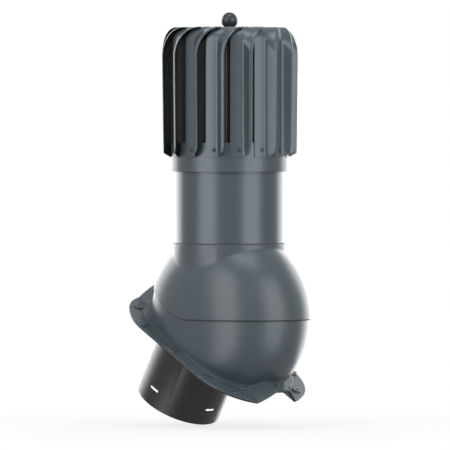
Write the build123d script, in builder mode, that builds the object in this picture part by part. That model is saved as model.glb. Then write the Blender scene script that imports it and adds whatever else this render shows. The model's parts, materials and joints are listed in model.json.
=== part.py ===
from build123d import *
import os
from math import asin, cos, degrees, radians, sin, sqrt

# Roof vent for pitched roofs: a base for profiled sheeting, a cowl that tilts on it to
# stand upright, and a wind turbine on top. Millimetres, +Z up along the stack, +X down
# the slope, +Y along the eaves. The origin is the centre of the flange screws, on the
# underside of the flange.

os.makedirs("parts", exist_ok=True)

# Roof and tilt
roof_slope = 30.0
least_slope = 12.0
steepest_slope = 40.0
hinge_height = 64.0

# Flange of the base
flange_length = 353.0
flange_width = 235.0
flange_corner = 75.0
flange_thickness = 3.0
ridge_height = 23.0
ridge_crest = 30.0
ridge_foot = 89.0
plinth_length = 294.0
plinth_width = 200.0
plinth_corner = 80.0
plinth_height = 6.0
gasket_thickness = 3.0
gasket_inset = 2.5
screw_hole = 4.5
screw_boss = 17.0
screw_boss_height = 2.0
corner_screw_end = 34.5
corner_screw_side = 46.5
side_screw_end = 90.0
side_screw_side = 9.2
crest_screw_end = 9.5

# Dome: a body of revolution about the tilt axis, in two nesting shells
dome_radius = 156.0
dome_half_width = 106.2
dome_power = 2.9
dome_steps = 12
cover_wall = 2.5
shell_gap = 0.5
shell_wall = 3.0
mouth_drop = 22.0
edge_overlap_angle = 1.0
front_overlap_angle = 5.0
cover_edge_start = 21.0
cover_edge_angle = 30.5
cover_edge_round = 70.0

# Neck and stack
neck_radius = 97.0
neck_top = 129.0
jacket_radius = 94.3
jacket_wall = 1.2
jacket_bottom = 122.5
jacket_top = 286.0
slip_fit = 0.2
bond_fit = 0.05
seat_depth = 2.5
seat_width = 6.0
seat_span = 100.0
mark_width = 1.6
mark_height = 7.0
mark_level = 122.5
mark_depth = 0.8
pipe_radius = 75.0
pipe_wall = 2.4
pipe_top = 296.0
spacer_bottom = 136.0
spacer_height = 6.0
ring_plug = 3.0
ring_lid = 2.0

# Ball joint between the inner pipe and the duct spigot
ball_radius = 88.0
ball_drop = 41.0
ball_gap = 0.4
cup_wall = 3.0
cup_rim_drop = 3.0
cup_rim_angle = 13.5
pin_notch = 1.0
seal_height = 4.0
seal_gap = 0.3
plate_level = 30.0
plate_thickness = 3.0
plate_length = 248.0
plate_width = 188.0
plate_corner = 80.0
ledge_thickness = 3.0
ledge_length = 212.0
ledge_width = 176.0
ledge_corner = 70.0
funnel_bottom = -12.0
spigot_offset = -35.0
spigot_radius = 75.0
spigot_wall = 3.0
spigot_end = -128.0
slot_count = 4
slot_length = 22.0
slot_width = 5.5
slot_round = 1.0
slot_from_end = 29.0
plate_screw_radius = 2.0
plate_screw_head = 4.0
plate_screw_head_height = 3.0
plate_screw_depth = 8.0
plate_boss_radius = 6.0
plate_boss_height = 8.0
end_screw_reach = 115.0
side_screw_reach = 92.0
side_screw_spread = 68.0

# Tilt pins, through the ball into blind sockets inside the cheeks of the base
pivot_radius = 7.0
pivot_fit = 0.06
pivot_head_radius = 10.0
pivot_head_height = 2.5
pivot_end_gap = 0.4
socket_wall = 4.0
socket_height = 7.5
screw_fit = 0.05

# Turbine
blade_count = 15
blade_phase_angle = 12.6
blade_thickness = 0.9
blade_bottom = 278.0
blade_top = 503.0
tab_start_angle = -8.5
tab_fit = 0.25
flare_start_angle = 3.0
flare_end_angle = 10.5
flare_power = 1.6
flare_radius_bottom = 116.5
flare_radius_top = 118.5
lip_shoulder_height = 40.0
lip_shoulder_reach = 25.0
tab_shoulder = 24.0
blade_twist_angle = 17.7
top_widening_ratio = 1.05
blade_inner_end = 47.0
blade_corner = 22.5
blade_corner_centre = -0.5
tab_columns = 5
flare_columns = 3
straight_rows = 3
shoulder_rows = 6
top_rows = 2
collar_radius = 102.0
collar_wall = 1.2
collar_bottom = 254.0
collar_top = 304.0
collar_bead = 1.6
collar_rivet_level = 291.5
rivet_shank = 1.6
rivet_head = 3.3
rivet_head_height = 1.3
rivet_taper_angle = 30.0
rivet_tail = 2.6
rivet_tail_height = 0.9
top_plate_radius = 66.0
top_plate_thickness = 1.5
top_rivet_circle = 57.0
top_rivet_spacing = 7.0
top_rivet_head = 2.4
top_rivet_head_height = 1.2

# Shaft, hub and bearings
shaft_radius = 5.0
shaft_bottom = 240.0
hub_flange_radius = 22.0
hub_flange_thickness = 3.0
hub_radius = 11.0
hub_height = 22.0
hub_taper_angle = 4.0
ball_nut_radius = 14.35
ball_nut_top = 529.0
nut_washer_radius = 11.0
nut_washer_thickness = 1.5
nut_bore_depth = 12.0
bearing_outer = 13.0
bearing_width = 8.0
inner_race_wall = 2.3
outer_race_wall = 2.3
bearing_ball = 2.4
bearing_ball_count = 7
lower_bearing_level = 248.0
upper_bearing_level = 286.0
housing_wall = 4.0
housing_shoulder = 1.8
shaft_collar_radius = 7.5
shaft_collar_height = 3.0
circlip_radius = 7.5
circlip_thickness = 1.2
race_gap = 0.3
rain_shield_radius = 19.0
rain_shield_thickness = 1.2
rain_shield_skirt = 4.0

# Spider that carries the bearing housing
spider_bottom = 256.0
spider_height = 20.0
spider_hub_wall = 3.5
spider_arm = 3.0
spider_arms = 3
spider_ring_wall = 3.0
spider_screw_radius = 2.0
spider_screw_head = 3.8
spider_screw_head_height = 2.2

# Planes and axes
slope_sin = sin(radians(roof_slope))
slope_cos = cos(radians(roof_slope))
down_slope = Vector(slope_cos, 0, -slope_sin)
roof_normal = Vector(slope_sin, 0, slope_cos)
roof_plane = Plane(origin=(0, 0, 0), x_dir=down_slope, z_dir=roof_normal)
wave_plane = Plane(origin=(0, 0, 0), x_dir=(0, 1, 0), z_dir=down_slope)
tilt_centre = roof_normal * hinge_height
stack_plane = Plane(origin=tilt_centre, x_dir=(1, 0, 0), z_dir=(0, 0, 1))
side_plane = Plane(origin=tilt_centre, x_dir=(1, 0, 0), z_dir=(0, -1, 0))
cross_plane = Plane(origin=tilt_centre, x_dir=(0, 1, 0), z_dir=(1, 0, 0))
tilt_axis = Axis(tilt_centre, (0, 1, 0))
stack_axis = Axis(tilt_centre, (0, 0, 1))
tilt_forward = roof_slope - least_slope
tilt_back = steepest_slope - roof_slope

# Sizes that follow
shell_radius = dome_radius - cover_wall - shell_gap
shell_half_width = dome_half_width - cover_wall - shell_gap
shell_inner_radius = shell_radius - shell_wall
shell_inner_half_width = shell_half_width - shell_wall
neck_bore = jacket_radius + slip_fit
jacket_bore = jacket_radius - jacket_wall
pipe_bore = pipe_radius - pipe_wall
collar_bore = collar_radius - collar_wall
spider_screw_level = spider_bottom + spider_height / 2
spider_screw_angles = [360 * index / spider_arms for index in range(spider_arms)]
far = 2 * dome_radius


def wave_points(lift, width):
    # Cross-section of the flange: flat valleys and one ridge up the slope
    return [
        (-width / 2, lift),
        (-ridge_foot / 2, lift),
        (-ridge_crest / 2, ridge_height + lift),
        (ridge_crest / 2, ridge_height + lift),
        (ridge_foot / 2, lift),
        (width / 2, lift),
    ]


def wavy_plate(length, width, corner, underside, upper_side):
    # A plate that follows the ridge, with rounded corners in plan
    with BuildPart() as plate:
        with BuildSketch(wave_plane):
            with BuildLine():
                Polyline(
                    *wave_points(underside, width),
                    *reversed(wave_points(upper_side, width)),
                    close=True,
                )
            make_face()
        extrude(amount=length / 2, both=True)
        with BuildSketch(roof_plane):
            RectangleRounded(length, width, corner)
        extrude(amount=far / 2, both=True, mode=Mode.INTERSECT)
    return plate.part


def dome_body(radius, half_width):
    # Solid of revolution about the tilt axis, with a superellipse for its outline
    turns = [radians(90 * step / dome_steps) for step in range(-dome_steps, dome_steps + 1)]
    outline = [
        (half_width * sin(turn), radius * abs(cos(turn)) ** (2 / dome_power)) for turn in turns
    ]
    outline[0] = (-half_width, 0)
    outline[-1] = (half_width, 0)
    with BuildPart() as body:
        with BuildSketch(cross_plane):
            with BuildLine():
                Spline(*outline, tangents=[(0, 1), (0, -1)])
                Line(outline[0], outline[-1])
            make_face()
        revolve(axis=tilt_axis)
    return body.part


def flange_screw_points():
    half_length = flange_length / 2
    half_width = flange_width / 2
    corners = [
        (x * (half_length - corner_screw_end), y * (half_width - corner_screw_side))
        for x in (-1, 1)
        for y in (-1, 1)
    ]
    sides = [
        (x * (half_length - side_screw_end), y * (half_width - side_screw_side))
        for x in (-1, 0, 1)
        for y in (-1, 1)
    ]
    return corners + sides


def crest_screw_points():
    return [(x * (flange_length / 2 - crest_screw_end), 0) for x in (-1, 1)]


def plate_screw_points():
    ends = [(x * end_screw_reach, 0) for x in (-1, 1)]
    sides = [(x * side_screw_reach, y * side_screw_spread) for x in (-1, 1) for y in (-1, 1)]
    return ends + sides


def stack_ring(inner, outer, bottom, height):
    # A plain ring about the stack
    with BuildPart() as ring:
        with BuildSketch(stack_plane.offset(bottom)):
            Circle(outer)
            Circle(inner, mode=Mode.SUBTRACT)
        extrude(amount=height)
    return ring.part


def outward_plane(angle, level):
    # Upright plane through the stack axis at one height, facing out along the angle
    turn = radians(angle)
    return Plane(
        origin=tilt_centre + Vector(0, 0, level),
        x_dir=(-sin(turn), cos(turn), 0),
        z_dir=(cos(turn), sin(turn), 0),
    )


def write(part, name):
    part.label = name
    export_step(part, f"parts/{name}.step")


# ---- Base: stays on the roof ----

# Room inside the lower shell, less the ledge that the spigot plate seats against
with BuildPart() as shell_room:
    add(dome_body(shell_inner_radius, shell_inner_half_width))
    with BuildSketch(roof_plane.offset(plate_level + plate_thickness)):
        Rectangle(far, far)
        RectangleRounded(ledge_length, ledge_width, ledge_corner, mode=Mode.SUBTRACT)
    extrude(amount=ledge_thickness, mode=Mode.SUBTRACT)

# Lower shell: dome, wavy flange, plinth round the foot of the dome and screw bosses
with BuildPart() as base_shell:
    add(dome_body(shell_radius, shell_half_width))
    # the mouth, a wedge that stays under the cover at every tilt
    upper_edge = radians(tilt_forward + cover_edge_angle + edge_overlap_angle)
    lower_edge = radians(tilt_back + edge_overlap_angle + front_overlap_angle)
    with BuildSketch(side_plane):
        with BuildLine():
            Polyline(
                (0, mouth_drop),
                (shell_radius * cos(lower_edge), shell_radius * sin(lower_edge)),
                (far, far),
                (-far, far),
                (-shell_radius * cos(upper_edge), shell_radius * sin(upper_edge)),
                close=True,
            )
        make_face()
    extrude(amount=far / 2, both=True, mode=Mode.SUBTRACT)
    # nothing of the dome hangs below the flange
    with BuildSketch(wave_plane):
        with BuildLine():
            Polyline(*wave_points(0, far), (far / 2, -far), (-far / 2, -far), close=True)
        make_face()
    extrude(amount=far / 2, both=True, mode=Mode.SUBTRACT)
    add(
        wavy_plate(
            plinth_length, plinth_width, plinth_corner, 0, flange_thickness + plinth_height
        )
    )
    add(wavy_plate(flange_length, flange_width, flange_corner, 0, flange_thickness))
    boss_height = flange_thickness + screw_boss_height
    with BuildSketch(roof_plane):
        with Locations(*flange_screw_points()):
            Circle(screw_boss / 2)
    extrude(amount=boss_height)
    with BuildSketch(roof_plane.offset(ridge_height)):
        with Locations(*crest_screw_points()):
            Circle(screw_boss / 2)
    extrude(amount=boss_height)
    add(shell_room.part, mode=Mode.SUBTRACT)
    with BuildSketch(roof_plane):
        with Locations(*flange_screw_points(), *crest_screw_points()):
            Circle(screw_hole / 2)
    extrude(amount=far / 4, mode=Mode.SUBTRACT)
    # bosses on the ledge for the screws of the spigot plate
    ledge_top = plate_level + plate_thickness + ledge_thickness
    with BuildSketch(roof_plane.offset(ledge_top)):
        with Locations(*plate_screw_points()):
            Circle(plate_boss_radius)
    extrude(amount=plate_boss_height)
    with BuildSketch(roof_plane.offset(plate_level + plate_thickness)):
        with Locations(*plate_screw_points()):
            Circle(plate_screw_radius + screw_fit)
    extrude(amount=plate_screw_depth + screw_fit, mode=Mode.SUBTRACT)
    # blind sockets for the tilt pins, inside both cheeks
    for side in (-1, 1):
        with BuildSketch(side_plane.offset(side * (shell_inner_half_width + shell_wall / 2))):
            Circle(pivot_radius + pivot_fit + socket_wall)
        extrude(amount=-side * (socket_height + shell_wall / 2))
        with BuildSketch(side_plane.offset(side * (shell_inner_half_width - socket_height))):
            Circle(pivot_radius + pivot_fit)
        extrude(amount=side * socket_height, mode=Mode.SUBTRACT)
write(base_shell.part, "base_shell")

# Foam gasket under the flange
gasket_length = flange_length - 2 * gasket_inset
gasket_width = flange_width - 2 * gasket_inset
gasket_corner = flange_corner - gasket_inset
with BuildPart() as flange_gasket:
    add(wavy_plate(gasket_length, gasket_width, gasket_corner, -gasket_thickness, 0))
    with BuildSketch(roof_plane.offset(-gasket_thickness)):
        RectangleRounded(
            plinth_length - 2 * plinth_height,
            plinth_width - 2 * plinth_height,
            plinth_corner - plinth_height,
        )
        with Locations(*flange_screw_points(), *crest_screw_points()):
            Circle(screw_hole / 2)
    extrude(amount=far / 4, mode=Mode.SUBTRACT)
write(flange_gasket.part, "flange_gasket")

# Duct spigot: pipe, slanting funnel, mounting plate and cup of the ball joint
cup_inner = ball_radius + ball_gap
cup_outer = cup_inner + cup_wall
cup_lean_angle = roof_slope - cup_rim_angle
cup_normal = Vector(sin(radians(cup_lean_angle)), 0, cos(radians(cup_lean_angle)))
cup_rim = Plane(origin=tilt_centre - cup_normal * cup_rim_drop, z_dir=cup_normal)
cup_foot = sqrt(cup_outer**2 - (hinge_height - plate_level) ** 2)
cup_mouth = sqrt(cup_inner**2 - (hinge_height - plate_level) ** 2)
spigot_centre = (spigot_offset, 0)
spigot_bore = spigot_radius - spigot_wall

with BuildPart() as cup_room:
    with Locations(tilt_centre):
        Sphere(cup_inner)
    split(bisect_by=roof_plane.offset(plate_level), keep=Keep.TOP)

with BuildPart() as duct_spigot:
    with Locations(tilt_centre):
        Sphere(cup_outer)
    split(bisect_by=cup_rim, keep=Keep.BOTTOM)
    split(bisect_by=roof_plane.offset(plate_level), keep=Keep.TOP)
    with BuildSketch(roof_plane.offset(plate_level)):
        RectangleRounded(plate_length, plate_width, plate_corner)
    extrude(amount=plate_thickness)
    with BuildSketch(roof_plane.offset(plate_level)):
        Circle(cup_foot)
    with BuildSketch(roof_plane.offset(funnel_bottom)):
        with Locations(spigot_centre):
            Circle(spigot_radius)
    loft(ruled=True)
    with BuildSketch(roof_plane.offset(spigot_end)):
        with Locations(spigot_centre):
            Circle(spigot_radius)
    extrude(amount=funnel_bottom - spigot_end)
    add(cup_room.part, mode=Mode.SUBTRACT)
    with BuildSketch(roof_plane.offset(plate_level)):
        Circle(cup_mouth)
    with BuildSketch(roof_plane.offset(funnel_bottom)):
        with Locations(spigot_centre):
            Circle(spigot_bore)
    loft(ruled=True, mode=Mode.SUBTRACT)
    with BuildSketch(roof_plane.offset(spigot_end)):
        with Locations(spigot_centre):
            Circle(spigot_bore)
    extrude(amount=funnel_bottom - spigot_end, mode=Mode.SUBTRACT)
    slot_centre = down_slope * spigot_offset + roof_normal * (spigot_end + slot_from_end)
    for index in range(slot_count):
        turn = radians(360 * index / slot_count)
        outward = down_slope * cos(turn) + Vector(0, 1, 0) * sin(turn)
        with BuildSketch(Plane(origin=slot_centre, x_dir=roof_normal, z_dir=outward)):
            RectangleRounded(slot_width, slot_length, slot_round)
        extrude(amount=spigot_radius + spigot_wall, mode=Mode.SUBTRACT)
    with BuildSketch(roof_plane.offset(plate_level)):
        with Locations(*plate_screw_points()):
            Circle(plate_screw_radius + screw_fit)
    extrude(amount=plate_thickness, mode=Mode.SUBTRACT)
    # notches in the rim for the tilt pins
    with BuildSketch(side_plane):
        Circle(pivot_radius + pin_notch)
    extrude(amount=cup_outer, both=True, mode=Mode.SUBTRACT)
write(duct_spigot.part, "duct_spigot")

# Lip seal on the rim of the cup
with BuildPart() as ball_seal:
    with Locations(tilt_centre):
        Sphere(cup_outer)
        Sphere(ball_radius + seal_gap, mode=Mode.SUBTRACT)
    split(bisect_by=cup_rim, keep=Keep.TOP)
    split(bisect_by=cup_rim.offset(seal_height), keep=Keep.BOTTOM)
    with BuildSketch(side_plane):
        Circle(pivot_radius + pin_notch)
    extrude(amount=cup_outer, both=True, mode=Mode.SUBTRACT)
write(ball_seal.part, "ball_seal")

# Screws that hold the spigot plate up against the ledge
with BuildPart() as plate_screws:
    with BuildSketch(roof_plane.offset(plate_level - plate_screw_head_height)):
        with Locations(*plate_screw_points()):
            Circle(plate_screw_head)
    extrude(amount=plate_screw_head_height)
    with BuildSketch(roof_plane.offset(plate_level)):
        with Locations(*plate_screw_points()):
            Circle(plate_screw_radius)
    extrude(amount=plate_thickness + plate_screw_depth)
write(plate_screws.part, "plate_screws")


# ---- Cowl: tilts on the base ----

# Cover: upper dome with the neck that takes the jacket pipe
with BuildPart() as cowl_cover:
    add(dome_body(dome_radius, dome_half_width))
    with BuildSketch(stack_plane):
        Circle(neck_radius)
    extrude(amount=neck_top)
    # lower edge, level at the front and raised behind to clear the roof
    with BuildSketch(side_plane):
        with BuildLine():
            edge_rise = sin(radians(cover_edge_angle)) / cos(radians(cover_edge_angle))
            FilletPolyline(
                (far, 0),
                (-cover_edge_start, 0),
                (-far, (far - cover_edge_start) * edge_rise),
                radius=cover_edge_round,
            )
            Polyline(
                (-far, (far - cover_edge_start) * edge_rise), (-far, -far), (far, -far), (far, 0)
            )
        make_face()
    extrude(amount=far / 2, both=True, mode=Mode.SUBTRACT)
    add(
        dome_body(dome_radius - cover_wall, dome_half_width - cover_wall), mode=Mode.SUBTRACT
    )
    with BuildSketch(stack_plane):
        Circle(neck_bore)
    extrude(amount=far, mode=Mode.SUBTRACT)
    # seats for the foot of the jacket, over the cheeks only
    with BuildSketch(stack_plane.offset(jacket_bottom - seat_depth)):
        Circle((neck_bore + neck_radius) / 2)
        Circle(neck_bore - seat_width, mode=Mode.SUBTRACT)
        Rectangle(seat_span, far, mode=Mode.INTERSECT)
    extrude(amount=seat_depth)
    # line-up mark on the front of the neck
    mark_plane = Plane(
        origin=tilt_centre + Vector((neck_bore + neck_radius) / 2, 0, mark_level),
        x_dir=(0, 1, 0),
        z_dir=(1, 0, 0),
    )
    with BuildSketch(mark_plane):
        Rectangle(mark_width, mark_height)
    extrude(amount=mark_depth + (neck_radius - neck_bore) / 2)
write(cowl_cover.part, "cowl_cover")

# Inner pipe with the ball at its foot
ball_inner = ball_radius - pipe_wall
ball_mouth = sqrt(ball_radius**2 - ball_drop**2)
ball_mouth_inner = sqrt(ball_inner**2 - ball_drop**2)
ball_start = sqrt(ball_radius**2 - pipe_radius**2)
ball_start_inner = sqrt(ball_inner**2 - pipe_bore**2)
with BuildPart() as inner_pipe:
    with BuildSketch(side_plane):
        with BuildLine():
            Line((pipe_bore, pipe_top), (pipe_radius, pipe_top))
            Line((pipe_radius, pipe_top), (pipe_radius, ball_start))
            ThreePointArc((pipe_radius, ball_start), (ball_radius, 0), (ball_mouth, -ball_drop))
            Line((ball_mouth, -ball_drop), (ball_mouth_inner, -ball_drop))
            ThreePointArc(
                (ball_mouth_inner, -ball_drop), (ball_inner, 0), (pipe_bore, ball_start_inner)
            )
            Line((pipe_bore, ball_start_inner), (pipe_bore, pipe_top))
        make_face()
    revolve(axis=stack_axis)
    with BuildSketch(side_plane):
        Circle(pivot_radius + screw_fit)
    extrude(amount=ball_radius, both=True, mode=Mode.SUBTRACT)
    # holes for the screws of the spider
    for angle in spider_screw_angles:
        with BuildSketch(outward_plane(angle, spider_screw_level)):
            Circle(spider_screw_radius + screw_fit)
        extrude(amount=far / 2, mode=Mode.SUBTRACT)
write(inner_pipe.part, "inner_pipe")

# Tilt pins, headed inside the ball
pin_end = shell_inner_half_width - pivot_end_gap
pin_seat = sqrt(ball_inner**2 - pivot_head_radius**2) - bond_fit
with BuildPart() as tilt_pins:
    for side in (-1, 1):
        with BuildSketch(side_plane.offset(side * (pin_seat - pivot_head_height))):
            Circle(pivot_head_radius)
        extrude(amount=side * pivot_head_height)
        with BuildSketch(side_plane.offset(side * pin_seat)):
            Circle(pivot_radius)
        extrude(amount=side * (pin_end - pin_seat))
write(tilt_pins.part, "tilt_pins")

jacket_pipe = stack_ring(jacket_bore, jacket_radius, jacket_bottom, jacket_top - jacket_bottom)
write(jacket_pipe, "jacket_pipe")

spacer_ring = stack_ring(
    pipe_radius + bond_fit, jacket_bore - bond_fit, spacer_bottom, spacer_height
)
write(spacer_ring, "spacer_ring")

sleeve_bottom = spacer_bottom + spacer_height
insulation_sleeve = stack_ring(
    pipe_radius + slip_fit,
    jacket_bore - slip_fit,
    sleeve_bottom,
    jacket_top - ring_plug - sleeve_bottom,
)
write(insulation_sleeve, "insulation_sleeve")

# Closing ring on top of the insulation, a lid over the jacket with a plug inside it
with BuildPart() as closing_ring:
    with BuildSketch(stack_plane.offset(jacket_top - ring_plug)):
        Circle(jacket_bore - bond_fit)
        Circle(pipe_radius + bond_fit, mode=Mode.SUBTRACT)
    extrude(amount=ring_plug)
    with BuildSketch(stack_plane.offset(jacket_top)):
        Circle(jacket_radius)
        Circle(pipe_radius + bond_fit, mode=Mode.SUBTRACT)
    extrude(amount=ring_lid)
write(closing_ring.part, "closing_ring")

# Spider: a clamp ring round the housing, three blades and a rim screwed to the pipe
housing_radius = bearing_outer + housing_wall
spider_hub_radius = housing_radius + spider_hub_wall
spider_rim_radius = pipe_bore - bond_fit
with BuildPart() as spider:
    with BuildSketch(stack_plane.offset(spider_bottom)):
        Circle(spider_rim_radius)
        Circle(spider_rim_radius - spider_ring_wall, mode=Mode.SUBTRACT)
        Circle(spider_hub_radius)
        arm_length = spider_rim_radius - spider_ring_wall / 2 - housing_radius
        with PolarLocations(housing_radius + arm_length / 2, spider_arms, 180 / spider_arms):
            Rectangle(arm_length, spider_arm)
        Circle(housing_radius + bond_fit, mode=Mode.SUBTRACT)
    extrude(amount=spider_height)
    for angle in spider_screw_angles:
        hole_plane = outward_plane(angle, spider_screw_level)
        with BuildSketch(hole_plane.offset(spider_hub_radius + spider_ring_wall)):
            Circle(spider_screw_radius + screw_fit)
        extrude(amount=spider_rim_radius, mode=Mode.SUBTRACT)
write(spider.part, "spider")

spider_bore = spider_rim_radius - spider_ring_wall
spider_face = sqrt(spider_bore**2 - spider_screw_head**2) - bond_fit
with BuildPart() as spider_screws:
    for angle in spider_screw_angles:
        screw_plane = outward_plane(angle, spider_screw_level)
        with BuildSketch(screw_plane.offset(spider_face - spider_screw_head_height)):
            Circle(spider_screw_head)
        extrude(amount=spider_screw_head_height)
        with BuildSketch(screw_plane.offset(spider_face - spider_screw_head_height)):
            Circle(spider_screw_radius)
        extrude(amount=pipe_radius - spider_face + spider_screw_head_height)
write(spider_screws.part, "spider_screws")

# Bearing housing: a tube with a shoulder between the two bearings
housing_bottom = lower_bearing_level
housing_top = upper_bearing_level + bearing_width
shoulder_bottom = lower_bearing_level + bearing_width
shoulder_bore = bearing_outer - housing_shoulder
with BuildPart() as bearing_housing:
    with BuildSketch(stack_plane.offset(housing_bottom)):
        Circle(housing_radius)
        Circle(bearing_outer + screw_fit, mode=Mode.SUBTRACT)
    extrude(amount=housing_top - housing_bottom)
    with BuildSketch(stack_plane.offset(shoulder_bottom)):
        Circle(housing_radius)
        Circle(shoulder_bore, mode=Mode.SUBTRACT)
    extrude(amount=upper_bearing_level - shoulder_bottom)
write(bearing_housing.part, "bearing_housing")

# Deep-groove ball bearings: outer rings and balls stay with the cowl
ball_circle = (shaft_radius + inner_race_wall + bearing_outer - outer_race_wall) / 2
for name, level in (("lower", lower_bearing_level), ("upper", upper_bearing_level)):
    middle = level + bearing_width / 2
    with BuildPart() as outer_race:
        with BuildSketch(side_plane):
            with Locations(((2 * bearing_outer - outer_race_wall) / 2, middle)):
                Rectangle(outer_race_wall, bearing_width)
            with Locations((ball_circle, middle)):
                Circle(bearing_ball + bond_fit, mode=Mode.SUBTRACT)
        revolve(axis=stack_axis)
    write(outer_race.part, f"{name}_bearing_outer_ring")
    with BuildPart() as balls:
        with Locations(stack_plane.offset(middle)):
            with PolarLocations(ball_circle, bearing_ball_count):
                Sphere(bearing_ball)
    write(balls.part, f"{name}_bearing_balls")
    with BuildPart() as inner_race:
        with BuildSketch(side_plane):
            with Locations((shaft_radius + inner_race_wall / 2 + screw_fit / 2, middle)):
                Rectangle(inner_race_wall - screw_fit, bearing_width)
            with Locations((ball_circle, middle)):
                Circle(bearing_ball + race_gap, mode=Mode.SUBTRACT)
        revolve(axis=stack_axis)
    write(inner_race.part, f"{name}_bearing_inner_ring")


# ---- Turbine: spins on the cowl ----

# Shaft with a collar that rests on the upper bearing
plate_top = blade_top - blade_thickness - bond_fit
plate_bottom = plate_top - top_plate_thickness
nut_seat = plate_top + nut_washer_thickness
shaft_top = nut_seat + nut_bore_depth - screw_fit
with BuildPart() as turbine_shaft:
    with BuildSketch(stack_plane.offset(shaft_bottom)):
        Circle(shaft_radius)
    extrude(amount=shaft_top - shaft_bottom)
    with BuildSketch(stack_plane.offset(housing_top)):
        Circle(shaft_collar_radius)
    extrude(amount=shaft_collar_height)
write(turbine_shaft.part, "turbine_shaft")

shaft_circlip = stack_ring(
    shaft_radius + screw_fit,
    circlip_radius,
    lower_bearing_level - circlip_thickness,
    circlip_thickness,
)
write(shaft_circlip, "shaft_circlip")

# Cap on the shaft that keeps rain out of the bearings
shield_bottom = housing_top + shaft_collar_height
with BuildPart() as rain_shield:
    with BuildSketch(stack_plane.offset(shield_bottom)):
        Circle(rain_shield_radius)
        Circle(shaft_radius + screw_fit, mode=Mode.SUBTRACT)
    extrude(amount=rain_shield_thickness)
    with BuildSketch(stack_plane.offset(shield_bottom - rain_shield_skirt)):
        Circle(rain_shield_radius)
        Circle(rain_shield_radius - rain_shield_thickness, mode=Mode.SUBTRACT)
    extrude(amount=rain_shield_skirt)
write(rain_shield.part, "rain_shield")

with BuildPart() as turbine_hub:
    with BuildSketch(stack_plane.offset(plate_bottom)):
        Circle(hub_flange_radius)
    extrude(amount=-hub_flange_thickness)
    with BuildSketch(stack_plane.offset(plate_bottom - hub_flange_thickness)):
        Circle(hub_radius)
    extrude(amount=-hub_height, taper=hub_taper_angle)
    with BuildSketch(stack_plane.offset(plate_bottom)):
        Circle(shaft_radius + screw_fit)
    extrude(amount=-hub_flange_thickness - hub_height, mode=Mode.SUBTRACT)
write(turbine_hub.part, "turbine_hub")

blade_angles = [blade_phase_angle + 360 * index / blade_count for index in range(blade_count)]
top_centre = blade_twist_angle + (tab_start_angle + flare_end_angle) * top_widening_ratio / 2
top_rivet_swing = degrees(asin(top_rivet_spacing / 2 / top_rivet_circle))


def top_rivet_pair(angle):
    turns = [radians(angle + top_centre + side * top_rivet_swing) for side in (-1, 1)]
    return [(top_rivet_circle * cos(turn), top_rivet_circle * sin(turn)) for turn in turns]


top_rivet_points = [point for angle in blade_angles for point in top_rivet_pair(angle)]
with BuildPart() as top_plate:
    with BuildSketch(stack_plane.offset(plate_bottom)):
        Circle(top_plate_radius)
        Circle(shaft_radius + screw_fit, mode=Mode.SUBTRACT)
        with Locations(*top_rivet_points):
            Circle(rivet_shank + screw_fit, mode=Mode.SUBTRACT)
    extrude(amount=top_plate_thickness)
write(top_plate.part, "top_plate")

# Collar ring that carries the feet of the blades, with a rolled bead below
with BuildPart() as turbine_collar:
    with BuildSketch(side_plane):
        with Locations((collar_radius - collar_wall / 2, (collar_bottom + collar_top) / 2)):
            Rectangle(collar_wall, collar_top - collar_bottom)
        with Locations((collar_bore - collar_bead / 2, collar_bottom + collar_bead)):
            Circle(collar_bead)
    revolve(axis=stack_axis)
    for angle in blade_angles:
        with BuildSketch(outward_plane(angle, collar_rivet_level)):
            Circle(rivet_shank + screw_fit)
        extrude(amount=far, mode=Mode.SUBTRACT)
write(turbine_collar.part, "turbine_collar")

# Blade: rows climb from the foot over the shoulder to the inner end, columns run from
# the flat tab to the flared free edge
tab_step = (flare_start_angle - tab_start_angle) / tab_columns
flare_step = (flare_end_angle - flare_start_angle) / flare_columns
columns = [tab_start_angle + tab_step * index for index in range(tab_columns)]
columns += [flare_start_angle + flare_step * index for index in range(flare_columns + 1)]
tab_face = collar_radius + tab_fit


def flare(column):
    if column <= flare_start_angle:
        return 0.0
    return ((column - flare_start_angle) / (flare_end_angle - flare_start_angle)) ** flare_power


def blade_point(tab, lip, twist, widening, square, angle, column):
    radius = tab[0] + (lip[0] - tab[0]) * flare(column)
    level = tab[1] + (lip[1] - tab[1]) * flare(column)
    turn = radians(angle + twist + column * widening)
    if square:
        radius /= cos(turn - radians(angle + top_centre))
    return tilt_centre + Vector(radius * cos(turn), radius * sin(turn), level)


def blade_stations():
    # Row by row: radius and level of the tab and of the lip, twist, widening, and
    # whether the row runs straight across
    face_top = blade_top - blade_thickness
    shoulder_start = face_top - lip_shoulder_height
    stations = []
    for row in range(straight_rows):
        share = row / straight_rows
        level = blade_bottom + (shoulder_start - blade_bottom) * share
        lip = flare_radius_bottom + (flare_radius_top - flare_radius_bottom) * share
        stations.append(((tab_face, level), (lip, level), 0, 1, False))
    for row in range(shoulder_rows + 1):
        turn = radians(90 * row / shoulder_rows)
        up = sin(turn)
        inward = 1 - cos(turn)
        tab = (tab_face - tab_shoulder * inward, face_top - tab_shoulder * (1 - up))
        lip = (
            flare_radius_top - lip_shoulder_reach * inward,
            face_top - lip_shoulder_height * (1 - up),
        )
        widening = 1 + (top_widening_ratio - 1) * inward
        stations.append((tab, lip, blade_twist_angle * inward, widening, False))
    tab_end = tab_face - tab_shoulder
    lip_end = flare_radius_top - lip_shoulder_reach
    for row in range(1, top_rows + 1):
        share = row / top_rows
        tab = (tab_end + (blade_inner_end - tab_end) * share, face_top)
        lip = (lip_end + (blade_inner_end - lip_end) * share, face_top)
        stations.append((tab, lip, blade_twist_angle, top_widening_ratio, row == top_rows))
    return stations


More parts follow.
